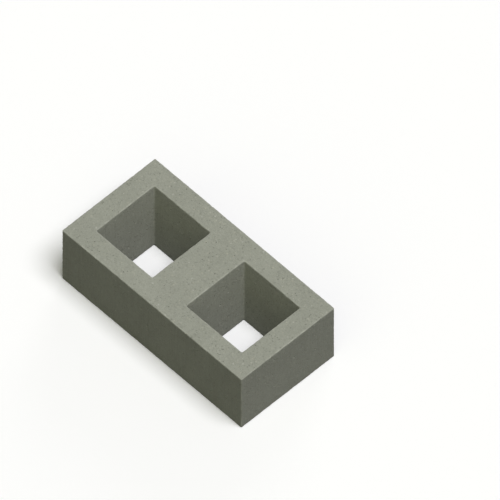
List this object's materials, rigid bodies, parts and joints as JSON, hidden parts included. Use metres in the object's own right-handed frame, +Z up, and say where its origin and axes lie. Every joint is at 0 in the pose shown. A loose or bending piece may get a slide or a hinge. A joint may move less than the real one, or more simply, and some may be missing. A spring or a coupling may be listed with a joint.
{
  "type": "concrete block",
  "caption": "Hollow concrete block, moulded in one piece, with square cores right through it that narrow a little from their mouths on top to the underside.",
  "frame": {"origin": "centre of the underside, the face that the block lies on", "axes": "+X along the block's length, +Y across it, +Z up, out of the wide mouths of the cores"},
  "size_m": [0.4, 0.2, 0.125],
  "materials": {
    "concrete": "matte"
  },
  "bodies": {
    "root": {"block": "concrete"}
  },
  "joints": []
}
